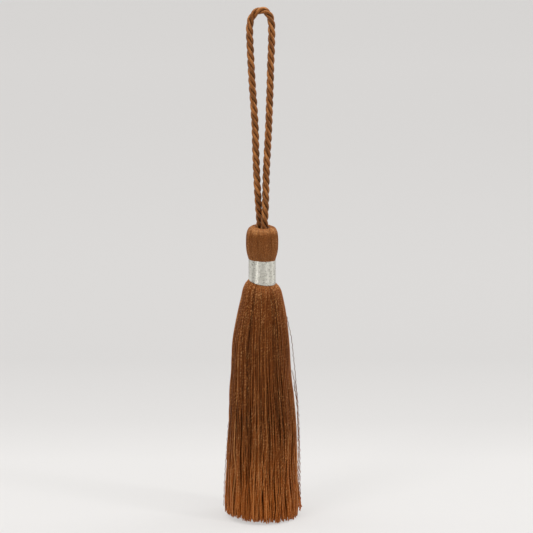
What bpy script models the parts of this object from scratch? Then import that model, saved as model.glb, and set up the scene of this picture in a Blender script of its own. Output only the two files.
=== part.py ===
# A key tassel that hangs by its twisted cord loop.
# Yarn is folded over the ends of the cord, so its head and skirt are one piece, and a wound
# metallic thread binds it at the neck.
# Metres, +Z up. The front faces -Y. The origin is inside the loop's crown, where the hook bears.

import math
import random

import bmesh
import bpy
from mathutils import Vector

# Hanging loop: a three-ply cord, twisted to the left.
CORD_RADIUS = 0.0018
CORD_PLIES = 3
CORD_LAY = 0.0125            # length of cord in one whole turn of a ply
RINGS_PER_LAY = 9
PLY_CROWN = 1.00             # outline of a ply, as shares of the cord's radius
PLY_SHOULDER = 0.94
PLY_VALLEY = 0.70

# Head, down from its rim, which stands round the hollow that the cord goes into.
RIM_HEIGHT = -0.1022
RIM_DROP_FRONT = 0.0003      # the rim leans a little to the front
RIM_LEAN_DEPTH = 0.0048      # drop at which the head is level again
HOLLOW_DEPTH = 0.0026
HEAD_TO_BINDING = 0.0158
TURNED_SIDES = 40

# Binding, wound round the neck just under the head.
BINDING_RADIUS = 0.00645
BINDING_THICKNESS = 0.0005
BINDING_HEIGHT = 0.0109
BINDING_EDGE = 0.0002        # rounding of its outer edges
FITTING_GAP = 0.0003         # between pieces that touch
BINDING_TOP = RIM_HEIGHT - HEAD_TO_BINDING - FITTING_GAP
BINDING_BOTTOM = BINDING_TOP - BINDING_HEIGHT
TOP_EDGE_RISE_FRONT = 0.0001     # the wound edges are a little uneven
TOP_EDGE_DROP_RIGHT = 0.0004
BOTTOM_EDGE_DROP_FRONT = 0.0008
BOTTOM_EDGE_DROP_RIGHT = 0.0010
NECK_RADIUS = BINDING_RADIUS - BINDING_THICKNESS - FITTING_GAP

# Flare: the fused roots of the skirt, which swell out from under the binding.
FLARE_BOTTOM = BINDING_BOTTOM - 0.0036
FLARE_SHOULDER_DROP = 0.0015
FLARE_SHOULDER = 0.46        # share of the way out that the shoulder has come at that drop
FLARE_UNEVENNESS = 0.0003

# Skirt: locks of yarn, which hang from the flare.
SKIRT_LENGTH = 0.1148
HEM_DROP_RIGHT = 0.0007      # the cut hem hangs a little lower to the right
LOCK_COUNT = 270
LOCK_SIDES = 3
LOCK_FULLNESS = 0.41         # radius of a lock as a share of the pitch between locks
LOCK_TURN = 0.5              # radians that a lock's edge may be turned from facing out
LOCK_END_SPREAD = 0.0006     # the cut ends differ by this much either way
LOCK_SWAY = 0.0009           # sideways drift of a lock over its whole length
SWAY_WAVES = (
    # waves round the skirt, how far they spiral inwards, share of the sway
    (3, 0.0, 0.6),
    (7, 5.0, 0.4),
)
ROOT_DEPTH = 0.0004          # how far a lock reaches up into the flare
ROOT_RIM = 0.0003            # the flare stands this much proud of the outer locks
GOLDEN_ANGLE = math.pi * (3 - math.sqrt(5))
SHARP_EDGE = math.radians(50)    # edges that turn more than this are shaded sharp

# Radius and height of the head's outline, below its rim, from the hollow's floor outwards.
HEAD_OUTLINE = (
    # radius, drop
    (0.0041, HOLLOW_DEPTH),
    (0.0042, 0.0012),
    (0.0045, 0.0003),
    (0.0050, 0.0),
    (0.0057, 0.0002),
    (0.0065, 0.0010),
    (0.0072, 0.0026),
    (0.0076, 0.0048),
    (0.0077, 0.0078),
    (0.0076, 0.0108),
    (0.0072, 0.0134),
    (0.0065, HEAD_TO_BINDING),
)

# Radius of the skirt at each drop below the binding.
SKIRT_OUTLINE = (
    # drop, radius
    (0.0036, 0.0088),
    (0.0100, 0.0110),
    (0.0280, 0.0142),
    (0.0650, 0.0170),
    (SKIRT_LENGTH, 0.0187),
)

# Middle of the cord from the left root, up over the crown and down to the right root.
# The legs lie side by side at the foot, the right one a little in front.
LOOP_ROUTE = (
    # x, y, z
    (-0.00110, 0.00160, -0.1044),
    (-0.00120, 0.00155, -0.0990),
    (-0.00155, 0.00130, -0.0940),
    (-0.00185, 0.00075, -0.0896),
    (-0.00218, 0.00030, -0.0845),
    (-0.00262, 0.00005, -0.0760),
    (-0.00300, 0.0, -0.0660),
    (-0.00325, 0.0, -0.0556),
    (-0.00390, 0.0, -0.0441),
    (-0.00465, 0.0, -0.0337),
    (-0.00525, 0.0, -0.0233),
    (-0.00566, 0.0, -0.0146),
    (-0.00588, 0.0, -0.0085),
    (-0.00555, 0.0, -0.0038),
    (-0.00425, 0.0, -0.0006),
    (-0.00230, 0.0, 0.0012),
    (-0.00020, 0.0, 0.0018),
    (0.00180, 0.0, 0.0012),
    (0.00342, 0.0, -0.0006),
    (0.00430, 0.0, -0.0034),
    (0.00455, 0.0, -0.0080),
    (0.00447, 0.0, -0.0146),
    (0.00412, 0.0, -0.0233),
    (0.00385, 0.0, -0.0337),
    (0.00350, 0.0, -0.0441),
    (0.00308, 0.0, -0.0556),
    (0.00252, 0.0, -0.0660),
    (0.00200, 0.0, -0.0760),
    (0.00178, -0.00015, -0.0845),
    (0.00165, -0.00055, -0.0896),
    (0.00150, -0.00105, -0.0940),
    (0.00120, -0.00145, -0.0990),
    (0.00110, -0.00150, -0.1044),
)


def clear_scene():
    for obj in list(bpy.data.objects):
        bpy.data.objects.remove(obj)


def make_material(name, colour, roughness, metallic=0.0):
    material = bpy.data.materials.new(name)
    material.use_nodes = True
    shader = material.node_tree.nodes["Principled BSDF"]
    shader.inputs["Base Color"].default_value = (*colour, 1.0)
    shader.inputs["Roughness"].default_value = roughness
    shader.inputs["Metallic"].default_value = metallic
    return material


def object_from(bm, name, material):
    """A shaded object made from a bmesh, with its faces pointing out."""
    bmesh.ops.recalc_face_normals(bm, faces=bm.faces)
    mesh = bpy.data.meshes.new(name)
    bm.to_mesh(mesh)
    bm.free()
    mesh.materials.append(material)
    mesh.shade_smooth()
    mesh.set_sharp_from_angle(angle=SHARP_EDGE)
    obj = bpy.data.objects.new(name, mesh)
    bpy.context.scene.collection.objects.link(obj)
    return obj


def bridge(bm, rings):
    """Faces between each ring of vertices and the next, with the first and last ring filled."""
    for ring, following in zip(rings, rings[1:]):
        for side in range(len(ring)):
            after = (side + 1) % len(ring)
            bm.faces.new((ring[side], ring[after], following[after], following[side]))
    bm.faces.new(rings[0])
    bm.faces.new(reversed(rings[-1]))


def between(table, key):
    """The second column of a table at a value of its first column, on straight lines."""
    if key <= table[0][0]:
        return table[0][1]
    for (low, start), (high, end) in zip(table, table[1:]):
        if key <= high:
            return start + (end - start) * (key - low) / (high - low)
    return table[-1][1]


def smooth_route(points, spacing):
    """Evenly spaced points on a smooth curve through the given ones."""
    points = [Vector(point) for point in points]
    along = [0.0]
    for start, end in zip(points, points[1:]):
        along.append(along[-1] + (end - start).length)
    last = len(points) - 1
    tangents = []
    for index in range(len(points)):
        before, after = max(index - 1, 0), min(index + 1, last)
        tangents.append((points[after] - points[before]) / (along[after] - along[before]))
    steps = round(along[-1] / spacing)
    route = []
    segment = 0
    for step in range(steps + 1):
        place = along[-1] * step / steps
        while segment < last - 1 and place > along[segment + 1]:
            segment += 1
        width = along[segment + 1] - along[segment]
        t = (place - along[segment]) / width
        route.append(
            points[segment] * (2 * t**3 - 3 * t**2 + 1)
            + tangents[segment] * width * (t**3 - 2 * t**2 + t)
            + points[segment + 1] * (3 * t**2 - 2 * t**3)
            + tangents[segment + 1] * width * (t**3 - t**2)
        )
    return route


def cord_outline():
    """Angle and radius of each point round the cord, ply by ply."""
    shares = (PLY_VALLEY, PLY_SHOULDER, PLY_CROWN, PLY_SHOULDER)
    count = CORD_PLIES * len(shares)
    return [(math.tau * i / count, CORD_RADIUS * shares[i % len(shares)]) for i in range(count)]


def make_hanging_loop(material):
    """The twisted cord: its lobed outline turns to the left as it follows the route."""
    route = smooth_route(LOOP_ROUTE, CORD_LAY / RINGS_PER_LAY)
    outline = cord_outline()
    depth = Vector((0, 1, 0))
    bm = bmesh.new()
    rings = []
    travelled = 0.0
    for index, centre in enumerate(route):
        if index:
            travelled += (centre - route[index - 1]).length
        ahead = route[min(index + 1, len(route) - 1)] - route[max(index - 1, 0)]
        across = depth.cross(ahead).normalized()
        through = ahead.cross(across).normalized()
        twist = -math.tau * travelled / CORD_LAY
        ring = []
        for angle, radius in outline:
            turned = angle + twist
            outward = math.cos(turned) * across + math.sin(turned) * through
            ring.append(bm.verts.new(centre + radius * outward))
        rings.append(ring)
    bridge(bm, rings)
    return object_from(bm, "hanging_loop", material)


def lean(angle, front, right):
    """Height added at an angle round the neck, for an edge that rises in front and to the right."""
    return -front * math.sin(angle) + right * math.cos(angle)


def turned_rings(bm, outline):
    """Rings of vertices for rows of radius, height, and rise in front and to the right."""
    rings = []
    for radius, height, front, right in outline:
        ring = []
        for side in range(TURNED_SIDES):
            angle = math.tau * side / TURNED_SIDES
            top = height + lean(angle, front, right)
            ring.append(bm.verts.new((radius * math.cos(angle), radius * math.sin(angle), top)))
        rings.append(ring)
    return rings


def make_neck_binding(material):
    """The wound metallic thread as a close ring round the neck."""
    inner = BINDING_RADIUS - BINDING_THICKNESS
    top = (BINDING_TOP, TOP_EDGE_RISE_FRONT, -TOP_EDGE_DROP_RIGHT)
    bottom = (BINDING_BOTTOM, -BOTTOM_EDGE_DROP_FRONT, -BOTTOM_EDGE_DROP_RIGHT)
    outline = (
        (inner, *top),
        (BINDING_RADIUS - BINDING_EDGE, *top),
        (BINDING_RADIUS, top[0] - BINDING_EDGE, *top[1:]),
        (BINDING_RADIUS, bottom[0] + BINDING_EDGE, *bottom[1:]),
        (BINDING_RADIUS - BINDING_EDGE, *bottom),
        (inner, *bottom),
    )
    bm = bmesh.new()
    rings = turned_rings(bm, outline)
    for ring, following in zip(rings, rings[1:] + rings[:1]):
        for side in range(TURNED_SIDES):
            after = (side + 1) % TURNED_SIDES
            bm.faces.new((ring[side], ring[after], following[after], following[side]))
    return object_from(bm, "neck_binding", material)


def make_head(material):
    """The folded yarn: head, neck under the binding, and the flare that the locks hang from."""
    top_edge = (TOP_EDGE_RISE_FRONT, -TOP_EDGE_DROP_RIGHT)
    bottom_edge = (-BOTTOM_EDGE_DROP_FRONT, -BOTTOM_EDGE_DROP_RIGHT)
    hollow_radius, hollow_drop = HEAD_OUTLINE[0]
    outline = [(hollow_radius, RIM_HEIGHT - hollow_drop, 0.0, 0.0)]
    for radius, drop in HEAD_OUTLINE[1:-1]:
        front = -RIM_DROP_FRONT * max(0.0, 1.0 - drop / RIM_LEAN_DEPTH)
        outline.append((radius, RIM_HEIGHT - drop, front, 0.0))
    radius, drop = HEAD_OUTLINE[-1]
    outline.append((radius, RIM_HEIGHT - drop, *top_edge))
    outline.append((NECK_RADIUS, RIM_HEIGHT - drop, *top_edge))
    under_binding = BINDING_BOTTOM - FITTING_GAP
    root_radius = SKIRT_OUTLINE[0][1] + ROOT_RIM
    shoulder_radius = BINDING_RADIUS + FLARE_SHOULDER * (root_radius - BINDING_RADIUS)
    outline += [
        (NECK_RADIUS, under_binding, *bottom_edge),
        (BINDING_RADIUS, under_binding, *bottom_edge),
        (shoulder_radius, BINDING_BOTTOM - FLARE_SHOULDER_DROP, -FLARE_UNEVENNESS, -FLARE_UNEVENNESS),
        (root_radius, FLARE_BOTTOM + 2 * ROOT_DEPTH, 0.0, 0.0),
        (root_radius, FLARE_BOTTOM, 0.0, 0.0),
    ]
    bm = bmesh.new()
    bridge(bm, turned_rings(bm, outline))
    return object_from(bm, "head_and_skirt", material)


def lock_rings(bm, index, rng):
    """One lock of yarn: it stands on a sunflower spiral, widens as it falls and drifts with its
    neighbours."""
    share = math.sqrt((index + 0.5) / LOCK_COUNT)
    angle = index * GOLDEN_ANGLE
    facing = rng.uniform(-LOCK_TURN, LOCK_TURN)
    end = rng.uniform(-LOCK_END_SPREAD, LOCK_END_SPREAD) - HEM_DROP_RIGHT * share * math.cos(angle)
    drift = sum(part * math.sin(waves * angle + spiral * share) for waves, spiral, part in SWAY_WAVES)
    levels = [BINDING_BOTTOM - FLARE_BOTTOM - ROOT_DEPTH] + [drop for drop, _ in SKIRT_OUTLINE[1:]]
    rings = []
    for level in levels:
        edge = between(SKIRT_OUTLINE, level)
        pitch = edge * math.sqrt(math.pi / LOCK_COUNT)
        thickness = LOCK_FULLNESS * pitch
        fall = level / SKIRT_LENGTH
        turned = angle + LOCK_SWAY * drift * share * fall**2 / edge
        centre = Vector((math.cos(turned), math.sin(turned), 0)) * share * (edge - thickness)
        centre.z = BINDING_BOTTOM - level + (end if level == levels[-1] else 0.0)
        ring = []
        for side in range(LOCK_SIDES):
            around = turned + facing + math.tau * side / LOCK_SIDES
            ring.append(bm.verts.new(centre + thickness * Vector((math.cos(around), math.sin(around), 0))))
        rings.append(ring)
    return rings


def make_skirt(head, material):
    """All the locks in one helper, joined to the flare by a union."""
    rng = random.Random(11)
    bm = bmesh.new()
    for index in range(LOCK_COUNT):
        bridge(bm, lock_rings(bm, index, rng))
    locks = object_from(bm, "skirt_locks", material)
    locks.hide_render = True
    locks.display_type = "WIRE"
    union = head.modifiers.new("skirt", "BOOLEAN")
    union.operation = "UNION"
    union.object = locks


clear_scene()
yarn = make_material("copper_yarn", (0.245, 0.090, 0.030), 0.55)
thread = make_material("silver_thread", (0.66, 0.65, 0.60), 0.35, 0.9)
make_hanging_loop(yarn)
make_neck_binding(thread)
make_skirt(make_head(yarn), yarn)
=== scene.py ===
import math

import bpy
import numpy as np
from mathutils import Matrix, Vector


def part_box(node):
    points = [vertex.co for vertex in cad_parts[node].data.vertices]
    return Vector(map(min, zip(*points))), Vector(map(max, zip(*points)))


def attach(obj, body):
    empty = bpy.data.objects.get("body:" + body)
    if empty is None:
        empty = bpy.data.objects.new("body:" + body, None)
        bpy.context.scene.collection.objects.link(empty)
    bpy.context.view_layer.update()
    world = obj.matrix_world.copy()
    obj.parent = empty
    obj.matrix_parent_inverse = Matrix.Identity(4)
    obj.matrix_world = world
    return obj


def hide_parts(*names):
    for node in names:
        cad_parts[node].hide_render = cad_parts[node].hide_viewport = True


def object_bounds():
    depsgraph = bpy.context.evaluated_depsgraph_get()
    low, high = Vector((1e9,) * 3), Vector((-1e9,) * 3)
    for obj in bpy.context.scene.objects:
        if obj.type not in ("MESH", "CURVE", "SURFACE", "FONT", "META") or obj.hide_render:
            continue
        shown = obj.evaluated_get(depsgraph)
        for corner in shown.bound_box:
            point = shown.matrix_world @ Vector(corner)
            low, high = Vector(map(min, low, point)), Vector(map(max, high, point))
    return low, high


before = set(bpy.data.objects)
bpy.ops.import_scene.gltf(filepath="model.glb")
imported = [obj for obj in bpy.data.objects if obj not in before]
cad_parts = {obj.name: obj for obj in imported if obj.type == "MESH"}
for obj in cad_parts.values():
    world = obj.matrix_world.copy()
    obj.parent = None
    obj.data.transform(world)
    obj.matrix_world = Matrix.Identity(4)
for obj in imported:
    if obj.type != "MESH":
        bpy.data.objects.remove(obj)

cadLow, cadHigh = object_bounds()
dice = np.random.default_rng(29)
seedReach = 400.0                         # yarns take their grain from a stretch of noise this long

# heights that everything hangs from, read from the frame
headLow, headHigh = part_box("head_and_skirt")
bandLow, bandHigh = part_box("neck_binding")
edgeLean = {
    # how much each edge rises in front and to the right
    "rim": (-0.0003, 0.0),
    "bandTop": (0.0001, -0.0004),
    "bandBottom": (-0.0008, -0.0010),
    "hem": (0.0, -0.0010),
}
rim = headHigh.z - math.hypot(*edgeLean["rim"])
bandTop = bandHigh.z - math.hypot(*edgeLean["bandTop"])
bandBottom = bandLow.z + math.hypot(*edgeLean["bandBottom"])
bandRadius = bandHigh.x
hem = headLow.z + 0.0004                  # middle of the cut ends
skirtLength = bandBottom - hem
print("frame read: rim", round(rim, 4), "band", round(bandTop, 4), round(bandBottom, 4), "hem", round(hem, 4))


# camera, at the height and distance that give the head, band and hem their curves
cameraSet = {
    "place": (0.0021, -1.45, 0.19),
    "aim": (0.0021, 0.0, -0.1220),
    "lens": 208.4,
    "nearest": 0.05,
}


def placeCamera():
    eye = bpy.data.cameras.new("studioCamera")
    eye.lens = cameraSet["lens"]
    eye.clip_start = cameraSet["nearest"]
    camera = bpy.data.objects.new("studioCamera", eye)
    bpy.context.scene.collection.objects.link(camera)
    camera.location = cameraSet["place"]
    camera.rotation_euler = (Vector(cameraSet["aim"]) - camera.location).to_track_quat("-Z", "Y").to_euler()
    bpy.context.scene.camera = camera
    bpy.context.scene.view_settings.view_transform = "Standard"
    print("camera placed")


placeCamera()


# helpers for node trees
def newMaterial(name):
    material = bpy.data.materials.new(name)
    material.use_nodes = True
    tree = material.node_tree
    return material, tree, tree.nodes["Principled BSDF"]


def feed(tree, value, socket):
    if isinstance(value, (int, float)):
        socket.default_value = value
    else:
        tree.links.new(value, socket)


def mathNode(tree, operation, *values):
    node = tree.nodes.new("ShaderNodeMath")
    node.operation = operation
    for value, socket in zip(values, node.inputs):
        feed(tree, value, socket)
    return node.outputs[0]


def addUp(tree, start, *shares):
    # start, plus each value times its weight
    total = start
    for value, weight in shares:
        total = mathNode(tree, "MULTIPLY_ADD", value, weight, total)
    return total


def attribute(tree, name):
    node = tree.nodes.new("ShaderNodeAttribute")
    node.attribute_name = name
    return node.outputs["Fac"]


def noise(tree, vector, scale, detail, roughness):
    node = tree.nodes.new("ShaderNodeTexNoise")
    node.inputs["Scale"].default_value = scale
    node.inputs["Detail"].default_value = detail
    node.inputs["Roughness"].default_value = roughness
    tree.links.new(vector, node.inputs["Vector"])
    return node.outputs["Fac"]


def colourRamp(tree, value, stops):
    ramp = tree.nodes.new("ShaderNodeValToRGB")
    points = ramp.color_ramp.elements
    while len(points) < len(stops):
        points.new(0.5)
    for point, (place, colour) in zip(points, stops):
        point.position = place
        point.color = (*colour, 1.0)
    tree.links.new(value, ramp.inputs["Fac"])
    return ramp.outputs["Color"]


def mixColour(tree, share, colour, other):
    node = tree.nodes.new("ShaderNodeMixRGB")
    node.inputs["Color2"].default_value = (*other, 1.0)
    tree.links.new(share, node.inputs["Fac"])
    tree.links.new(colour, node.inputs["Color1"])
    return node.outputs["Color"]


def bumpFrom(tree, height, strength, distance, shader):
    bump = tree.nodes.new("ShaderNodeBump")
    bump.inputs["Strength"].default_value = strength
    bump.inputs["Distance"].default_value = distance
    tree.links.new(height, bump.inputs["Height"])
    tree.links.new(bump.outputs["Normal"], shader.inputs["Normal"])


# dyed viscose: one finish for cord, head and skirt, with its own tint on each yarn, which also carries
# painted light and shade
yarnFinish = {
    "shadow": (0.036, 0.0090, 0.0018),
    "middle": {
        "skirtYarn": (0.197, 0.0520, 0.0112),
        "headYarn": (0.184, 0.0515, 0.0108),
        "cordYarn": (0.192, 0.0560, 0.0122),
    },
    "fair": (0.335, 0.1220, 0.0330),
    "light": (0.600, 0.3050, 0.1220),
    "tipColour": (0.400, 0.1000, 0.0120),
    "toneStops": (0.0, 0.42, 0.62, 1.0),
    "start": 0.42,                # where on the way from shadow to light a middling yarn lies
    "tintShare": 0.80,
    "grainShare": 0.30,           # uneven dye along a yarn
    "grainLength": 0.0011,
    "patchLength": 0.0050,        # the twist shows in patches
    "patchStarts": 0.37,
    "patchGain": 2.9,
    "twistHighlightShare": 2.4,            # painted highlight: a yarn's twist is lit on its crowns
    "twistLength": 0.0015,
    "twistPace": 0.28,            # how much the twist differs from yarn to yarn
    "twistSlip": 12.0,            # how uneven it is along one yarn
    "crownSharp": 3.5,
    "crownMean": 0.07,            # what the crowns add on average, which is taken off again
    "tipLift": 0.34,              # the cut ends show a lighter, more orange side
    "tipShare": 0.68,
    "roughness": 0.40,
    "roughSpread": 0.20,          # the lighter its grain, the smoother a yarn
    "gloss": {"skirtYarn": 0.15, "headYarn": 0.45, "cordYarn": 0.60},
    "glossColour": (1.0, 0.70, 0.34, 1.0),
    "fuzz": 0.10,
    "fuzzColour": (1.0, 0.48, 0.18, 1.0),
    "bump": 1.0,
    "bumpGrain": 0.5,             # how much the grain counts in it beside the twist
    "bumpDepth": 0.00004,
}


def noiseAlong(tree, along, seed, length):
    place = tree.nodes.new("ShaderNodeCombineXYZ")
    feed(tree, mathNode(tree, "DIVIDE", along, length), place.inputs["X"])
    feed(tree, seed, place.inputs["Y"])
    return noise(tree, place.outputs[0], scale=1.0, detail=2.0, roughness=0.6)


def makeYarnMaterial(name):
    # "aside" and "forward" are the sine and cosine of a point's angle round its yarn
    material, tree, shader = newMaterial(name)
    labels = ("tint", "seed", "along", "aside", "forward", "glint", "tip")
    tint, seed, along, aside, forward, glint, tip = (attribute(tree, label) for label in labels)
    grain = noiseAlong(tree, along, seed, yarnFinish["grainLength"])
    patch = noiseAlong(tree, along, seed, yarnFinish["patchLength"])
    patchGain = yarnFinish["patchGain"]
    patch = addUp(tree, -yarnFinish["patchStarts"] * patchGain, (patch, patchGain))
    around = mathNode(tree, "ARCTAN2", aside, forward)
    rate = math.tau / yarnFinish["twistLength"]
    pace = addUp(tree, rate, (mathNode(tree, "SINE", seed), rate * yarnFinish["twistPace"]))
    turned = addUp(tree, seed, (along, pace), (around, -1.0), (grain, yarnFinish["twistSlip"]))
    # painted highlight where the twist's crowns would catch the light, in patches
    crown = mathNode(tree, "MAXIMUM", mathNode(tree, "SINE", turned), 0.0)
    crown = mathNode(tree, "POWER", crown, yarnFinish["crownSharp"])
    crown = mathNode(tree, "MULTIPLY", crown, mathNode(tree, "MAXIMUM", patch, 0.0))
    twist = mathNode(tree, "MULTIPLY", mathNode(tree, "SUBTRACT", crown, yarnFinish["crownMean"]), glint)
    fromMiddle = -0.5 * (yarnFinish["tintShare"] + yarnFinish["grainShare"])
    shade = addUp(
        tree, yarnFinish["start"] + fromMiddle,
        (tint, yarnFinish["tintShare"]), (grain, yarnFinish["grainShare"]),
        (twist, yarnFinish["twistHighlightShare"]), (tip, yarnFinish["tipLift"]),
    )
    tones = (yarnFinish["shadow"], yarnFinish["middle"][name], yarnFinish["fair"], yarnFinish["light"])
    dyed = colourRamp(tree, shade, list(zip(yarnFinish["toneStops"], tones)))
    orange = mathNode(tree, "MULTIPLY", tip, yarnFinish["tipShare"])
    feed(tree, mixColour(tree, orange, dyed, yarnFinish["tipColour"]), shader.inputs["Base Color"])
    relief = addUp(tree, 0.0, (grain, yarnFinish["bumpGrain"]), (twist, 1.0))
    bumpFrom(tree, relief, yarnFinish["bump"], yarnFinish["bumpDepth"], shader)
    roughest = yarnFinish["roughness"] + yarnFinish["roughSpread"] / 2
    feed(tree, addUp(tree, roughest, (grain, -yarnFinish["roughSpread"])), shader.inputs["Roughness"])
    shader.inputs["Specular IOR Level"].default_value = yarnFinish["gloss"][name]
    shader.inputs["Specular Tint"].default_value = yarnFinish["glossColour"]
    shader.inputs["Sheen Weight"].default_value = yarnFinish["fuzz"]
    shader.inputs["Sheen Tint"].default_value = yarnFinish["fuzzColour"]
    return material


# silver thread: metal foil on a core, with its uneven glints from turn to turn painted into its colour as
# light and dark patches
silverFinish = {
    "dark": (0.46, 0.445, 0.390),
    "light": (0.745, 0.730, 0.668),
    "darkUpTo": 0.34,             # where the foil's noise, from 0 to 1, turns from dark to light
    "lightFrom": 0.66,
    "smoothest": 0.18,            # roughness where it glints least, and what the glints add
    "roughSpread": 0.25,
    "metallic": 0.80,
    "glintSize": 0.0013,
    "glintShare": 0.6,
    "flatter": 1.7,               # the glints are this much longer round the neck than they are tall
    "fineSize": 0.0006,
    "fineShare": 0.5,
    "bump": 0.25,
    "bumpDepth": 0.0001,
}


def makeSilverMaterial():
    material, tree, shader = newMaterial("silverThread")
    flatten = tree.nodes.new("ShaderNodeMapping")
    flatten.inputs["Scale"].default_value = (1.0, 1.0, silverFinish["flatter"])
    tree.links.new(tree.nodes.new("ShaderNodeTexCoord").outputs["Object"], flatten.inputs["Vector"])
    place = flatten.outputs["Vector"]
    glint = noise(tree, place, 1.0 / silverFinish["glintSize"], detail=2.0, roughness=0.6)
    fine = noise(tree, place, 1.0 / silverFinish["fineSize"], detail=1.0, roughness=0.5)
    glintShare, fineShare = silverFinish["glintShare"], silverFinish["fineShare"]
    toMiddle = 0.5 * (1.0 - glintShare - fineShare)
    foil = addUp(tree, toMiddle, (glint, glintShare), (fine, fineShare))
    stops = [
        (silverFinish["darkUpTo"], silverFinish["dark"]),
        (silverFinish["lightFrom"], silverFinish["light"]),
    ]
    feed(tree, colourRamp(tree, foil, stops), shader.inputs["Base Color"])
    rough = addUp(tree, silverFinish["smoothest"], (glint, silverFinish["roughSpread"]))
    feed(tree, rough, shader.inputs["Roughness"])
    bumpFrom(tree, foil, silverFinish["bump"], silverFinish["bumpDepth"], shader)
    shader.inputs["Metallic"].default_value = silverFinish["metallic"]
    return material


skirtYarn = makeYarnMaterial("skirtYarn")
headYarn = makeYarnMaterial("headYarn")
cordYarn = makeYarnMaterial("cordYarn")
silverThread = makeSilverMaterial()
print("yarn and silver thread mixed")


# helpers for thread meshes
def unit(vectors):
    shortest = 1e-12
    return vectors / np.maximum(np.linalg.norm(vectors, axis=-1, keepdims=True), shortest)


def crosswise(vectors, ahead):
    # the part of each vector that is square to the thread's direction
    return unit(vectors - ahead * np.sum(vectors * ahead, axis=-1, keepdims=True))


def directionOf(paths):
    return unit(np.gradient(paths, axis=1))


def travelled(paths):
    steps = np.linalg.norm(np.diff(paths, axis=1), axis=-1)
    return np.concatenate([np.zeros((len(paths), 1)), np.cumsum(steps, axis=1)], axis=1)


def column(table, index):
    return np.array([row[index] for row in table])


def easeThrough(keys, values, at):
    # smooth curve through a table
    slopes = np.gradient(values, keys)
    place = np.clip(np.searchsorted(keys, at) - 1, 0, len(keys) - 2)
    width = keys[place + 1] - keys[place]
    t = np.clip((at - keys[place]) / width, 0.0, 1.0)
    return (
        values[place] * (2 * t**3 - 3 * t**2 + 1)
        + slopes[place] * width * (t**3 - 2 * t**2 + t)
        + values[place + 1] * (3 * t**2 - 2 * t**3)
        + slopes[place + 1] * width * (t**3 - t**2)
    )


def shareBetween(value, start, end):
    # 0 up to the start, 1 from the end on
    return np.clip((value - start) / (end - start), 0.0, 1.0)


def fade(value, end):
    # 1 at nothing, 0 from the end on
    return np.clip(1.0 - value / end, 0.0, 1.0)


def rightward(paths):
    return np.broadcast_to(np.array([1.0, 0.0, 0.0]), paths.shape)


def leanAt(angle, edge):
    front, right = edgeLean[edge]
    return -front * np.sin(angle) + right * np.cos(angle)


def ringsRound(paths, radii, outward, turns):
    # a ring of points round each point of each path, the first one outward
    ahead = directionOf(paths)
    outward = crosswise(outward, ahead)
    beside = np.cross(ahead, outward)
    return (
        paths[:, :, None, :]
        + (radii * np.cos(turns))[..., None] * outward[:, :, None, :]
        + (radii * np.sin(turns))[..., None] * beside[:, :, None, :]
    )


def roundTurns(sides, phase=0.0):
    return phase + np.arange(sides)[None, None, :] * math.tau / sides


def yarnValues(paths, turns, tint, seed, glint, tip=0.0):
    # what the yarn's finish reads at each point
    return {
        "tint": tint, "seed": seed, "along": travelled(paths),
        "aside": np.sin(turns), "forward": np.cos(turns), "glint": glint, "tip": tip,
    }


def skinRings(name, rings, material, values):
    # rings is threads x rings x sides x 3: each thread becomes a closed tube, all in one mesh
    threads, count, sides, _ = rings.shape
    start = np.arange(threads)[:, None, None] * count * sides
    near = start + np.arange(count - 1)[None, :, None] * sides
    far = near + sides
    side = np.arange(sides)[None, None, :]
    after = (side + 1) % sides
    corners = (near + side, near + after, far + after, far + side)
    walls = np.stack(np.broadcast_arrays(*corners), axis=-1).reshape(-1, 4)
    firstCaps = start[:, :, 0] + np.arange(sides)[::-1]
    lastCaps = start[:, :, 0] + (count - 1) * sides + np.arange(sides)
    mesh = bpy.data.meshes.new(name)
    mesh.from_pydata(rings.reshape(-1, 3), [], walls.tolist() + firstCaps.tolist() + lastCaps.tolist())
    for label, value in values.items():
        value = np.asarray(value, dtype=np.float32)
        if value.ndim == 2:
            value = value[..., None]
        spread = np.ascontiguousarray(np.broadcast_to(value, (threads, count, sides)))
        mesh.attributes.new(label, "FLOAT", "POINT").data.foreach_set("value", spread.ravel())
    mesh.materials.append(material)
    mesh.shade_smooth()
    piece = bpy.data.objects.new(name, mesh)
    bpy.context.scene.collection.objects.link(piece)
    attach(piece, "root")
    return piece


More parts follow.
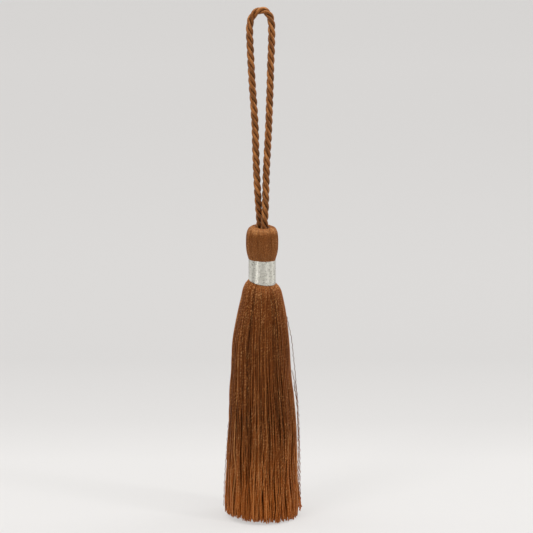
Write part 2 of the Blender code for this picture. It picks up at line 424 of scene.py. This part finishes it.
# hanging cord: three plies laid to the left, each with its own yarns
cordSet = {
    "diameter": 0.0033,
    "lay": 0.0125,                # length of cord in which a ply goes once round it
    "plies": 3,
    "plyRadius": 0.00088,         # the plies are pressed into each other a little
    "layRadius": 0.00092,
    "ringStep": 0.00038,
    "yarnsPerPly": 9,
    "pointsPerYarn": 3,
    "yarnRelief": 0.11,
    "yarnTurn": 0.0085,           # length of ply in which its yarns go once round it
    "grooveShade": 0.50,          # painted shade between the plies
    "footShade": 1.2,             # how much stronger that painted shade is at the feet, in the hollow
    "footTop": -0.086,
    "footDepth": 0.012,
    "plyTints": (0.49, 0.57, 0.53),
    "shoulderPaintedLight": 0.26,         # painted light and shade: a ply is lighter on its upper shoulder and darker on its lower one
    "yarnTint": 0.18,
    "glint": 0.0,
    "seedStep": 7.3,              # sets the plies' grain apart
    "toldEvery": 4,               # one in so many points of the route
}
cordRoute = [
    # x, y, z of the middle of the cord, from its left root over the crown to its right root
    (-0.00110, 0.00160, -0.1044), (-0.00120, 0.00155, -0.0990), (-0.00155, 0.00130, -0.0940),
    (-0.00185, 0.00075, -0.0896), (-0.00218, 0.00030, -0.0845), (-0.00262, 0.00005, -0.0760),
    (-0.00300, 0.0, -0.0660), (-0.00325, 0.0, -0.0556), (-0.00390, 0.0, -0.0441),
    (-0.00465, 0.0, -0.0337), (-0.00525, 0.0, -0.0233), (-0.00566, 0.0, -0.0146),
    (-0.00588, 0.0, -0.0085), (-0.00555, 0.0, -0.0038), (-0.00425, 0.0, -0.0006),
    (-0.00230, 0.0, 0.0012), (-0.00020, 0.0, 0.0018), (0.00180, 0.0, 0.0012),
    (0.00342, 0.0, -0.0006), (0.00430, 0.0, -0.0034), (0.00455, 0.0, -0.0080),
    (0.00447, 0.0, -0.0146), (0.00412, 0.0, -0.0233), (0.00385, 0.0, -0.0337),
    (0.00350, 0.0, -0.0441), (0.00308, 0.0, -0.0556), (0.00252, 0.0, -0.0660),
    (0.00200, 0.0, -0.0760), (0.00178, -0.00015, -0.0845), (0.00165, -0.00055, -0.0896),
    (0.00150, -0.00105, -0.0940), (0.00120, -0.00145, -0.0990), (0.00110, -0.00150, -0.1044),
]


def smoothRoute(points, step):
    points = np.array(points)
    keys = np.concatenate([[0.0], np.cumsum(np.linalg.norm(np.diff(points, axis=0), axis=1))])
    at = np.linspace(0.0, keys[-1], round(keys[-1] / step) + 1)
    return np.stack([easeThrough(keys, points[:, axis], at) for axis in range(3)], axis=1)


def makeCord():
    plyCount, yarnCount, perYarn = cordSet["plies"], cordSet["yarnsPerPly"], cordSet["pointsPerYarn"]
    route = smoothRoute(cordRoute, cordSet["ringStep"])[None]
    ahead = directionOf(route)
    across = unit(np.cross(np.array([0.0, 1.0, 0.0]), ahead))
    through = np.cross(ahead, across)
    along = travelled(route)
    turn = -math.tau * along / cordSet["lay"] + np.arange(plyCount)[:, None] * math.tau / plyCount
    outward = np.cos(turn)[..., None] * across + np.sin(turn)[..., None] * through
    plies = route + cordSet["layRadius"] * outward
    sides = yarnCount * perYarn
    roll = math.tau * travelled(plies) / cordSet["yarnTurn"]
    turns = roundTurns(sides, roll[:, :, None])
    lobes = np.abs(np.cos(np.arange(sides) / perYarn * math.pi))[None, None, :]
    radii = cordSet["plyRadius"] * (1.0 + cordSet["yarnRelief"] * (lobes - 1.0))
    rings = ringsRound(plies, radii, outward, turns)
    reach = np.linalg.norm(rings - route[:, :, None, :], axis=-1)
    crown = cordSet["layRadius"] + cordSet["plyRadius"]
    groove = np.clip((crown - reach) / cordSet["layRadius"], 0.0, 1.0)
    ownYarn = dice.uniform(-1.0, 1.0, (plyCount, yarnCount)) * cordSet["yarnTint"]
    ownYarn = np.repeat(ownYarn, perYarn, axis=1)[:, None, :]
    # painted light on a ply's upper shoulder, painted shade on its lower one
    rise = (rings - plies[:, :, None, :])[..., 2]
    rise = rise / rise.max()
    # painted shade in the grooves, stronger at the feet down in the hollow
    foot = np.clip((cordSet["footTop"] - plies[..., 2]) / cordSet["footDepth"], 0.0, 1.0)[..., None]
    shade = cordSet["grooveShade"] * (1.0 + cordSet["footShade"] * foot) * groove**2
    tint = np.array(cordSet["plyTints"])[:, None, None] + ownYarn - shade + cordSet["shoulderPaintedLight"] * rise
    seed = np.arange(plyCount)[:, None] * cordSet["seedStep"]
    values = yarnValues(plies, turns, tint, seed, cordSet["glint"])
    piece = skinRings("hangingCord", rings, cordYarn, values)
    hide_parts("hanging_loop")


makeCord()


# head: threads that come up out of the hollow, over the rim and down under the binding
headSet = {
    "threads": 420,
    "layers": 2,                  # times that they go round the head
    "threadRadius": 0.00018,
    "thickness": (0.85, 1.15),    # thinnest and thickest thread, as shares of that radius
    "tightest": 0.55,             # how thin they get in the hollow, as a share
    "rings": 32,
    "sides": 4,
    "lean": 0.03,                 # how far a thread strays round the head, in radians
    "bow": 0.9,                   # half waves that it makes on its way
    "ripple": 0.5,                # size of the whole wave beside them, as a share
    "unevenness": 0.00005,
    "lifts": (-1.0, 0.6),         # lowest and highest thread, times the unevenness
    "sunk": 0.6,                  # how far a thread's middle lies under the form's skin, in its radii
    "tintSpread": 0.08,
    "tintLimits": (0.05, 0.95),
    "tint": 0.37,
    "footPaintedLight": 0.18,             # painted light bounced from the binding: they grow a little lighter towards it
    "glint": 0.32,
    "capPaintedLight": 0.24,              # and painted highlight makes them much lighter where they bend over the rim
    "capSpread": 0.14,
    "capStarts": 0.0020,
    "capEnds": 0.0034,
    "capRagged": 0.0006,
    "underSides": 96,
    "underTint": 0.45,
    "underDepth": 0.00022,        # how far the filling lies inside the head's form, and how far below it
    "underDrop": 0.0001,
    "underNeck": 0.0055,          # its radius at the neck, and where its two ends close
    "underEnd": 0.0004,
    "hug": 0.0025,                # the hollow is this much narrower beside the legs than in line with them
    "hugEnds": 0.22,              # share of a thread's way by which that has gone
    "hugCurve": 0.8,
    "legLine": 2.18,              # direction of the line through both legs, in radians
    "leanDepth": 0.0048,          # drop at which the rim's lean has gone
}
headProfile = [
    # radius, drop below the rim
    (0.0036, 0.0025), (0.0037, 0.0013), (0.0041, 0.0004), (0.0048, 0.0001), (0.0056, 0.0003),
    (0.0064, 0.0010), (0.0072, 0.0026), (0.0076, 0.0048), (0.0077, 0.0078), (0.0076, 0.0108),
    (0.0072, 0.0134), (0.0065, 0.0158), (0.0061, 0.0172),
]


def headCurve(rings):
    radius, drop = column(headProfile, 0), column(headProfile, 1)
    keys = np.concatenate([[0.0], np.cumsum(np.hypot(np.diff(radius), np.diff(drop)))])
    at = np.linspace(0.0, keys[-1], rings)
    return easeThrough(keys, radius, at), easeThrough(keys, drop, at), at / keys[-1]


def hugCord(angle, share):
    # how far the hollow closes in on the legs: most at its foot, nothing by the rim
    closing = fade(share, headSet["hugEnds"]) ** headSet["hugCurve"]
    return headSet["hug"] * np.sin(angle - headSet["legLine"]) ** 2 * closing


def rimLean(angle, drop):
    return leanAt(angle, "rim") * fade(drop, headSet["leanDepth"])


def capShare(drop):
    # where the painted cap highlight lies: 1 over the rim, 0 on the head's side
    return shareBetween(drop, headSet["capEnds"], headSet["capStarts"])


def makeHead():
    radius, drop, share = headCurve(headSet["rings"])
    count = headSet["threads"]
    start = (np.arange(count) + dice.uniform(-0.5, 0.5, count)) * math.tau / count * headSet["layers"]
    bow = dice.normal(0.0, headSet["lean"], count)[:, None]
    ripple = dice.normal(0.0, headSet["lean"] * headSet["ripple"], count)[:, None]
    sway = bow * np.sin(share * math.pi * headSet["bow"])[None] + ripple * np.cos(share * math.tau)[None]
    angle = start[:, None] + sway
    slopeR, slopeZ = np.gradient(radius), np.gradient(-drop)
    size = np.hypot(slopeR, slopeZ)
    outR, outZ = (-slopeZ / size)[None], (slopeR / size)[None]
    lift = dice.uniform(*headSet["lifts"], count)[:, None] * headSet["unevenness"]
    depth = lift - headSet["threadRadius"] * headSet["sunk"]
    r = radius[None] + depth * outR - hugCord(angle, share[None])
    z = rim - drop[None] + depth * outZ + rimLean(angle, drop[None])
    paths = np.stack([r * np.cos(angle), r * np.sin(angle), z], axis=-1)
    crowd = np.clip(radius / radius.max(), headSet["tightest"], 1.0)[None]
    radii = headSet["threadRadius"] * crowd * dice.uniform(*headSet["thickness"], count)[:, None]
    outward = np.stack([outR * np.cos(angle), outR * np.sin(angle), outZ + 0 * angle], axis=-1)
    turns = roundTurns(headSet["sides"])
    rings = ringsRound(paths, radii[..., None], outward, turns)
    tint = dice.normal(headSet["tint"], headSet["tintSpread"], count)
    tint = np.clip(tint, *headSet["tintLimits"])[:, None]
    # painted highlight over the rim and painted light towards the binding
    capPaintedLight = dice.normal(headSet["capPaintedLight"], headSet["capSpread"], count)[:, None]
    ragged = dice.normal(0.0, headSet["capRagged"], count)[:, None]
    tint = tint + capPaintedLight * capShare(drop[None] + ragged) + headSet["footPaintedLight"] * share[None]
    seed = dice.uniform(0.0, seedReach, count)[:, None]
    values = yarnValues(paths, turns, tint, seed, headSet["glint"])
    piece = skinRings("headThreads", rings, headYarn, values)
    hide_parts("head_and_skirt")
    print("head threads laid:", count)


def makeHeadUnder():
    # closed form just under the threads, so that no gap shows between them
    radius, drop, share = headCurve(headSet["rings"])
    around = np.arange(headSet["underSides"]) * math.tau / headSet["underSides"]
    nothing = np.zeros((1, headSet["underSides"]))
    skin = radius[:, None] - headSet["underDepth"] - hugCord(around[None], share[:, None])
    end = headSet["underEnd"] + nothing
    r = np.concatenate([end, skin, headSet["underNeck"] + nothing, end])
    lean = rimLean(around[None], drop[:, None])
    lean = np.concatenate([lean[:1], lean, nothing, nothing])
    z = np.concatenate([[rim - drop[0]], rim - drop - headSet["underDrop"], [bandBottom, bandBottom]])
    z = z[:, None] + lean
    rings = np.stack([r * np.cos(around[None]), r * np.sin(around[None]), z], axis=-1)[None, :, ::-1]
    # the filling takes the same painted highlight over the rim
    cap = headSet["capPaintedLight"] * capShare(drop)
    values = {"tint": headSet["underTint"] + np.concatenate([[0.0], cap, [0.0, 0.0]])[None, ::-1]}
    skinRings("headUnder", rings, headYarn, values)
    print("head filled under its threads")


makeHead()
makeHeadUnder()


# binding: silver thread wound over the band, turn beside turn
windSet = {
    "turns": 34,
    "threadRadius": 0.00017,
    "sides": 6,
    "pointsPerTurn": 72,
    "sunk": 0.45,                 # how far the thread's middle lies inside the band's outline, in its radii
    "waver": 0.00002,
    "waverOut": 0.5,              # how much of it goes outward as well
    "waverRates": (0.27, 0.61, 1.13, 2.1, 3.3, 5.7),   # waves a turn
}


def makeBinding():
    thick = windSet["threadRadius"]
    count = windSet["turns"] * windSet["pointsPerTurn"]
    share = np.linspace(0.0, 1.0, count)
    angle = share * windSet["turns"] * math.tau
    top = bandTop - thick + leanAt(angle, "bandTop")
    bottom = bandBottom + thick + leanAt(angle, "bandBottom")
    waver = np.zeros(count)
    for rate in windSet["waverRates"]:
        waver += dice.normal(0.0, windSet["waver"]) * np.sin(angle * rate + dice.uniform(0.0, math.tau))
    radius = bandRadius - thick * windSet["sunk"] + waver * windSet["waverOut"]
    height = top + (bottom - top) * share + waver
    paths = np.stack([radius * np.cos(angle), radius * np.sin(angle), height], axis=-1)[None]
    outward = np.stack([np.cos(angle), np.sin(angle), 0 * angle], axis=-1)[None]
    rings = ringsRound(paths, thick, outward, roundTurns(windSet["sides"]))
    skinRings("bindingThread", rings, silverThread, {})
    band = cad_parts["neck_binding"]
    band.data.materials.clear()
    band.data.materials.append(silverThread)
    print("binding wound:", windSet["turns"], "turns")


makeBinding()


# skirt: yarns lie evenly side by side at the flare and gather into locks on their way down
skirtSet = {
    "yarns": 1800,
    "locks": 380,
    "yarnRadius": 0.00025,
    "thickness": (0.85, 1.2),     # thinnest and thickest yarn, as shares of that radius
    "turned": 0.7,                # how far the yarns' pattern is turned round, in radians
    "shake": 0.2,                 # how far a yarn strays from its place in it, in gaps between yarns
    "hiddenRoot": 0.0020,         # length of yarn that goes up under the binding
    "evenLevels": 0.40,           # how evenly a yarn's points are spread: less is closer at the flare
    "levelCurve": 1.8,
    "rootThickness": 0.7,         # thickness of a yarn where the binding squeezes it, as a share
    "fullAt": 0.008,              # drop at which it has its whole thickness
    "gather": 0.34,               # how far a yarn has moved to the middle of its lock at the hem
    "gatherStarts": 0.014,
    "gatherEnds": 0.080,
    "lockSway": 0.017,
    "lockWaves": (0.052, 0.087, 0.160),
    "yarnSway": 0.027,
    "yarnWaves": (0.024, 0.041, 0.090),
    "swing": 0.6,                 # spread of the waves' sizes, and how they grow on the way down
    "swingCurve": 0.9,
    "outlineAt": 0.97,            # yarns outside this share of the outline are pulled back to it
    "pastOutline": 0.25,
    "lockTint": 0.03,
    "yarnTint": 0.20,
    "yarnTintLimits": (-0.35, 0.45),
    "tint": 0.382,
    "glint": 0.9,                 # how much of the twist shows, yarn by yarn
    "glintSpread": 0.2,
    "glintLimits": (0.3, 1.4),
    "tipStarts": 0.55,            # share of the way down at which the cut ends' colour sets in
    "tipCurve": 1.3,
    "flarePaintedLight": 0.24,            # painted highlight: the yarns are lighter where they come out from under the binding
    "flareEnds": 0.007,
    "sideStarts": 0.50,           # painted light: those on the left and right sides are lighter too
    "sidePaintedLight": 0.17,
    "litEdge": 0.95,              # painted shade on yarns deeper than this share of the outline
    "depthShade": 2.2,
    "darkest": 0.45,
    "topSpread": 0.35,            # share of the yarns' difference in tint that shows at the flare
    "hemSpread": 1.25,
    "lockEnd": 0.00035,           # spread of the cut ends, lock by lock and yarn by yarn
    "yarnEnd": 0.00050,
    "endLimits": (-0.0005, 0.0010),
    "hemCurve": 6,                # how late on the way down the ends' spread and the hem's slant set in
    "bandCurve": 14,              # and how soon the binding's slant goes
}
skirtGlints = [
    # drop below the binding, how much the twist shows
    (0.0, 0.66), (0.010, 0.58), (0.045, 0.42), (0.080, 0.62), (0.110, 0.92),
]
skirtProfile = [
    # drop below the binding, radius, how far the middle has drifted to the right
    (-0.0020, 0.0053, 0.0), (0.0, 0.0062, 0.0), (0.0015, 0.0079, 0.0), (0.0030, 0.0088, 0.0),
    (0.0088, 0.0104, 0.0), (0.0166, 0.0121, -0.0002), (0.0284, 0.0139, -0.0006), (0.0440, 0.0149, -0.0006),
    (0.0600, 0.0163, -0.0002), (0.0700, 0.0170, 0.0), (0.0980, 0.0178, -0.0003),
    (skirtLength - 0.0060, 0.0183, -0.0002), (skirtLength, 0.0183, -0.0003),
]
skirtLayers = [
    # name, inner edge as a share of the radius, levels down the yarn, sides, meshes
    ("Outer", 0.80, 56, 5, 4),
    ("Middle", 0.50, 24, 4, 1),
    ("Core", 0.0, 10, 4, 1),
]


def skirtLevels(count):
    # drops of the points down a yarn, closest where the flare is tightest
    share = np.linspace(0.0, 1.0, count)
    even, hidden = skirtSet["evenLevels"], skirtSet["hiddenRoot"]
    return -hidden + (skirtLength + hidden) * (even * share + (1.0 - even) * share ** skirtSet["levelCurve"])


def wander(count, drops, size, lengths):
    # a slow drift, across both ways, that starts at nothing under the binding and grows on the way down
    total = np.zeros((count, len(drops), 2))
    for length in lengths:
        phase = dice.uniform(0.0, math.tau, (count, 1, 2))
        swing = dice.normal(0.0, skirtSet["swing"], (count, 1, 2))
        total += swing * np.sin(drops[None, :, None] / length * math.tau + phase)
    growth = np.clip(drops / drops[-1], 0.0, 1.0) ** skirtSet["swingCurve"]
    return size * total * growth[None, :, None]


def sunflower(count):
    # evenly spread places on a disc of radius 1, a little shaken
    pitch = math.sqrt(math.pi / count)
    widest = 1.0 - 0.5 * pitch
    reach = np.sqrt((np.arange(count) + 0.5) / count) * widest
    turn = np.arange(count) * math.pi * (3.0 - math.sqrt(5.0)) + skirtSet["turned"]
    places = np.stack([reach * np.cos(turn), reach * np.sin(turn)], axis=-1)
    places += dice.normal(0.0, skirtSet["shake"], (count, 2)) * pitch
    size = np.linalg.norm(places, axis=-1, keepdims=True)
    return places * np.minimum(1.0, widest / size)


def drawYarns():
    # each yarn's place across the skirt, its lock and what is its own
    locks, count = skirtSet["locks"], skirtSet["yarns"]
    home, lockHome = sunflower(count), sunflower(locks)
    lockOf = np.argmin(np.linalg.norm(home[:, None] - lockHome[None], axis=-1), axis=1)
    end = dice.normal(0.0, skirtSet["lockEnd"], locks)[lockOf] + dice.normal(0.0, skirtSet["yarnEnd"], count)
    lockTint = dice.normal(skirtSet["tint"], skirtSet["lockTint"], locks)[lockOf]
    yarnTint = dice.normal(0.0, skirtSet["yarnTint"], count)[::-1]
    glint = dice.normal(skirtSet["glint"], skirtSet["glintSpread"], count)
    return {
        "home": home,
        "lockOf": lockOf,
        "lockHome": lockHome[lockOf],
        "turn": np.arctan2(home[:, 1], home[:, 0]),
        "end": np.clip(end, *skirtSet["endLimits"]),
        "lockTint": lockTint,
        "yarnTint": np.clip(yarnTint, *skirtSet["yarnTintLimits"]),
        "glint": np.clip(glint, *skirtSet["glintLimits"]),
        "radius": skirtSet["yarnRadius"] * dice.uniform(*skirtSet["thickness"], count),
        "phase": dice.uniform(0.0, math.tau, count),
        "seed": dice.uniform(0.0, seedReach, count),
    }


def levelValues(drops):
    # what changes on the way down, each with one value a level
    down = np.clip(drops / skirtLength, 0.0, 1.0)
    way = shareBetween(drops, skirtSet["gatherStarts"], skirtSet["gatherEnds"])
    squeezed = skirtSet["rootThickness"]
    return {
        "drop": drops,
        "down": down,
        "edge": easeThrough(column(skirtProfile, 0), column(skirtProfile, 1), drops),
        "shift": easeThrough(column(skirtProfile, 0), column(skirtProfile, 2), drops),
        "gather": skirtSet["gather"] * way * way * (3.0 - 2.0 * way),
        "thickness": squeezed + (1.0 - squeezed) * np.clip(drops / skirtSet["fullAt"], 0.0, 1.0),
        "glint": np.interp(drops, column(skirtGlints, 0), column(skirtGlints, 1)),
        "flarePaintedLight": skirtSet["flarePaintedLight"] * fade(drops, skirtSet["flareEnds"]),
        "spread": skirtSet["topSpread"] + (skirtSet["hemSpread"] - skirtSet["topSpread"]) * down,
        "tip": shareBetween(down, skirtSet["tipStarts"], 1.0) ** skirtSet["tipCurve"],
    }


def yarnPaths(own, level, lockDrift, ownDrift):
    # paths of some yarns, and how far out across the skirt each of their points lies
    toLock = (own["lockHome"] - own["home"])[:, None]
    flat = own["home"][:, None] + level["gather"][None, :, None] * toLock + lockDrift + ownDrift
    size = np.linalg.norm(flat, axis=-1, keepdims=True)
    limit = skirtSet["outlineAt"]
    kept = np.where(size > limit, limit + skirtSet["pastOutline"] * (size - limit), size)
    shift = level["shift"][None, :, None] * np.array([1.0, 0.0])
    flat = flat * kept / size * level["edge"][None, :, None] + shift
    down = level["down"][None]
    atHem = (own["end"] + leanAt(own["turn"], "hem"))[:, None]
    z = bandBottom - level["drop"][None] + atHem * down ** skirtSet["hemCurve"]
    z = z + leanAt(own["turn"], "bandBottom")[:, None] * (1.0 - down) ** skirtSet["bandCurve"]
    return np.concatenate([flat, z[..., None]], axis=-1), size[..., 0]


def yarnTints(own, level, size):
    # painted light on the sides and at the flare, painted shade on yarns deep inside
    side = shareBetween(np.abs(np.cos(own["turn"])), skirtSet["sideStarts"], 1.0)
    tint = own["lockTint"] + skirtSet["sidePaintedLight"] * side
    tint = tint[:, None] + own["yarnTint"][:, None] * level["spread"]
    shade = np.clip(skirtSet["depthShade"] * (skirtSet["litEdge"] - size), 0.0, skirtSet["darkest"])
    return tint + level["flarePaintedLight"] - shade * level["down"]


def makeSkirt():
    yarns = drawYarns()
    reach = np.linalg.norm(yarns["home"], axis=-1)
    outerEdge = math.inf
    for label, innerEdge, levels, sides, meshes in skirtLayers:
        level = levelValues(skirtLevels(levels))
        chosen = np.flatnonzero((reach >= innerEdge) & (reach < outerEdge))
        chosen = chosen[np.argsort(yarns["turn"][chosen], kind="stable")]
        outerEdge = innerEdge
        lockDrift = wander(skirtSet["locks"], level["drop"], skirtSet["lockSway"], skirtSet["lockWaves"])
        for number, part in enumerate(np.array_split(chosen, meshes)):
            own = {key: values[part] for key, values in yarns.items()}
            ownDrift = wander(len(part), level["drop"], skirtSet["yarnSway"], skirtSet["yarnWaves"])
            paths, size = yarnPaths(own, level, lockDrift[own["lockOf"]], ownDrift)
            radii = (own["radius"][:, None] * level["thickness"])[..., None]
            turns = roundTurns(sides, own["phase"][:, None, None])
            rings = ringsRound(paths, radii, rightward(paths), turns)
            tint, seed = yarnTints(own, level, size), own["seed"][:, None]
            glint = level["glint"] * own["glint"][:, None]
            values = yarnValues(paths, turns, tint, seed, glint, level["tip"][None])
            piece = skinRings(f"skirtYarn{label}{number + 1}", rings, skirtYarn, values)
            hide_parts("head_and_skirt")
        print("skirt yarns hung:", label, len(chosen))


makeSkirt()


# strays: single threads that have left the skirt's outline
straySet = {
    "rings": 160,
    "sides": 4,
    "sway": 0.03,                 # how far a thread strays round the skirt, in radians
    "swayTurn": 5.0,              # part of a wave that it makes on its way, in radians
    "crimp": 0.00024,             # the curl it keeps from its twist
    "crimpLength": 0.0027,
    "crimpPhase": 9.0,            # sets the threads' curls apart
    "crimpBeat": 4.3,             # curls in which it comes and goes
    "glint": 0.6,
    "seedStep": 5.7,
}
strayThreads = [
    # angle round the skirt, thickness, tint, orange of the cut end, then drop and radius on the way down
    (0.02, 0.00027, 0.22, 0.4, (
        (0.0175, 0.0119), (0.0218, 0.0128), (0.0293, 0.0143), (0.0352, 0.0149),
        (0.0425, 0.0157), (0.0516, 0.0165), (0.0560, 0.0169), (0.0640, 0.0171),
        (0.0763, 0.0180), (0.0910, 0.0184), (0.1007, 0.0185), (0.1120, 0.0188),
    )),
    (-0.06, 0.00022, 0.38, 0.7, (
        (0.0440, 0.0142), (0.0500, 0.0157), (0.0560, 0.0166), (0.0660, 0.0171),
        (0.0760, 0.0174), (0.0950, 0.0176), (0.1110, 0.0182),
    )),
    (0.08, 0.00028, 0.38, 0.6, (
        (0.0520, 0.0154), (0.0590, 0.0167), (0.0680, 0.0174), (0.0780, 0.0176),
        (0.0900, 0.0178), (0.1116, 0.0181),
    )),
    (-0.02, 0.00013, 0.30, 0.6, (
        (0.0440, 0.0146), (0.0510, 0.0162), (0.0590, 0.0173), (0.0700, 0.0180),
        (0.0860, 0.0181), (0.1060, 0.0184),
    )),
    (0.04, 0.00013, 0.36, 0.6, (
        (0.0500, 0.0152), (0.0560, 0.0164), (0.0640, 0.0175), (0.0740, 0.0177),
        (0.0880, 0.0183), (0.1090, 0.0185),
    )),
    (0.00, 0.00048, 0.60, 2.0, ((0.1005, 0.0172), (0.1050, 0.0178), (0.1094, 0.0186), (0.1128, 0.0191))),
    (0.05, 0.00048, 0.60, 2.0, ((0.1010, 0.0174), (0.1060, 0.0179), (0.1104, 0.0185), (0.1140, 0.0188))),
    (-0.06, 0.00048, 0.60, 2.0, ((0.1020, 0.0173), (0.1070, 0.0179), (0.1112, 0.0185), (0.1146, 0.0187))),
    (0.09, 0.00044, 0.70, 2.0, ((0.1040, 0.0176), (0.1080, 0.0181), (0.1130, 0.0185))),
    (-0.10, 0.00044, 0.70, 2.0, ((0.1030, 0.0174), (0.1080, 0.0180), (0.1138, 0.0183))),
    (3.14, 0.00044, 0.70, 2.0, ((0.0900, 0.0170), (0.1000, 0.0177), (0.1080, 0.0180), (0.1112, 0.0181))),
    (3.22, 0.00044, 0.70, 2.0, ((0.0930, 0.0170), (0.1020, 0.0176), (0.1106, 0.0179))),
    (3.07, 0.00040, 0.70, 2.0, ((0.0960, 0.0171), (0.1040, 0.0177), (0.1118, 0.0180))),
    (3.16, 0.00017, 0.45, 0.4, (
        (0.0700, 0.0164), (0.0800, 0.0171), (0.0920, 0.0178), (0.1020, 0.0183), (0.1120, 0.0186),
    )),
    (3.05, 0.00013, 0.45, 0.4, ((0.0780, 0.0168), (0.0900, 0.0180), (0.1010, 0.0186), (0.1130, 0.0190))),
    (1.85, 0.00020, 0.35, 0.6, ((0.0340, 0.0142), (0.0600, 0.0166), (0.0900, 0.0183), (0.1140, 0.0190))),
    (5.30, 0.00020, 0.45, 0.6, ((0.0500, 0.0152), (0.0700, 0.0171), (0.0950, 0.0182), (0.1140, 0.0188))),
]


def makeStrays():
    share = np.linspace(0.0, 1.0, straySet["rings"])
    paths = []
    for angle, _, _, _, places in strayThreads:
        drops, radii = column(places, 0), column(places, 1)
        drop = drops[0] + (drops[-1] - drops[0]) * share
        curl = drop / straySet["crimpLength"] * math.tau
        crimp = straySet["crimp"] * np.sin(curl + straySet["crimpPhase"] * angle)
        crimp = crimp * np.sin(curl / straySet["crimpBeat"])
        radius = easeThrough(drops, radii, drop) + crimp
        around = angle + straySet["sway"] * np.sin(share * straySet["swayTurn"] + angle)
        paths.append(np.stack([radius * np.cos(around), radius * np.sin(around), bandBottom - drop], axis=-1))
    paths = np.array(paths)
    turns = roundTurns(straySet["sides"])
    rings = ringsRound(paths, column(strayThreads, 1)[:, None, None] / 2, rightward(paths), turns)
    seeds = np.arange(len(paths))[:, None] * straySet["seedStep"]
    tint, tip = column(strayThreads, 2)[:, None], column(strayThreads, 3)[:, None] * share[None]
    values = yarnValues(paths, turns, tint, seeds, straySet["glint"], tip)
    skinRings("strayThreads", rings, skirtYarn, values)
    print("stray threads hung:", len(paths))


makeStrays()


# pale sweep that the tassel hangs just above
sweepSet = {
    "floor": cadLow.z - 0.0012,
    "front": -2.4,
    "bendStart": 2.2,
    "bendRadius": 0.7,
    "bendSteps": 24,
    "top": 1.6,
    "halfWidth": 2.6,
    "roughness": 0.8,
    "glow": 1.90,                 # painted light: the paper glows, which softens the tassel's shadow on it
}
sweepTones = [
    # distance behind the tassel, paper colour, which with the glow paints the fall of light across the sweep:
    # dullest a third of a metre behind it
    (0.0, (0.2545, 0.2495, 0.2446)),
    (0.10, (0.2535, 0.2485, 0.2436)),
    (0.18, (0.2308, 0.2261, 0.2218)),
    (0.32, (0.2155, 0.2111, 0.2072)),
    (0.58, (0.2285, 0.2238, 0.2196)),
    (1.50, (0.2643, 0.2589, 0.2541)),
    (2.00, (0.2682, 0.2628, 0.2579)),
]


def makeSweep():
    bend, radius, steps = sweepSet["bendStart"], sweepSet["bendRadius"], sweepSet["bendSteps"]
    line = [(sweepSet["front"], 0.0), (bend, 0.0)]
    for step in range(1, steps + 1):
        angle = math.pi / 2 * step / steps
        line.append((bend + radius * math.sin(angle), radius * (1 - math.cos(angle))))
    line.append((bend + radius, sweepSet["top"]))
    points = [(side * sweepSet["halfWidth"], y, sweepSet["floor"] + z) for side in (-1, 1) for y, z in line]
    count = len(line)
    mesh = bpy.data.meshes.new("paleSweep")
    mesh.from_pydata(points, [], [(i, i + 1, count + i + 1, count + i) for i in range(count - 1)])
    mesh.shade_smooth()
    material, tree, shader = newMaterial("palePaper")
    split = tree.nodes.new("ShaderNodeSeparateXYZ")
    tree.links.new(tree.nodes.new("ShaderNodeTexCoord").outputs["Object"], split.inputs[0])
    reach = sweepTones[-1][0]
    stops = [(distance / reach, colour) for distance, colour in sweepTones]
    tone = colourRamp(tree, mathNode(tree, "DIVIDE", split.outputs["Y"], reach), stops)
    feed(tree, tone, shader.inputs["Base Color"])
    feed(tree, tone, shader.inputs["Emission Color"])
    shader.inputs["Emission Strength"].default_value = sweepSet["glow"]
    shader.inputs["Roughness"].default_value = sweepSet["roughness"]
    mesh.materials.append(material)
    sweep = bpy.data.objects.new("paleSweep", mesh)
    bpy.context.scene.collection.objects.link(sweep)


makeSweep()


# soft boxes, and the air of the room round them
lightSet = {
    # name: place, aim, size across and up, watts
    "overhead": ((0.0, -0.15, 0.95), (0.0, 0.0, -0.15), (1.4, 1.3), 12.5),
    "leftStrip": ((-0.72, -0.86, 0.70), (0.0, 0.0, -0.13), (0.42, 1.1), 5.4),
    "rightStrip": ((1.00, -0.53, 0.70), (0.0, 0.0, -0.13), (0.16, 1.1), 5.4),
    "leftSide": ((-1.00, 0.46, 0.45), (0.0, 0.0, -0.13), (0.80, 1.0), 2.8),
    "rightSide": ((1.01, 0.44, 0.45), (0.0, 0.0, -0.13), (0.45, 1.0), 3.9),
}
airSet = {
    "colour": (1.0, 0.995, 0.985, 1.0),
    "glow": 0.30,
}


def lightStudio():
    for name, (place, aim, size, watts) in lightSet.items():
        lamp = bpy.data.lights.new(name, "AREA")
        lamp.shape = "RECTANGLE"
        lamp.size, lamp.size_y = size
        lamp.energy = watts
        holder = bpy.data.objects.new(name, lamp)
        bpy.context.scene.collection.objects.link(holder)
        holder.location = place
        holder.rotation_euler = (Vector(aim) - Vector(place)).to_track_quat("-Z", "Y").to_euler()
    world = bpy.data.worlds.new("studioAir")
    bpy.context.scene.world = world
    world.use_nodes = True
    sky = world.node_tree.nodes["Background"]
    sky.inputs["Color"].default_value = airSet["colour"]
    sky.inputs["Strength"].default_value = airSet["glow"]


lightStudio()
print("sweep and lights set")
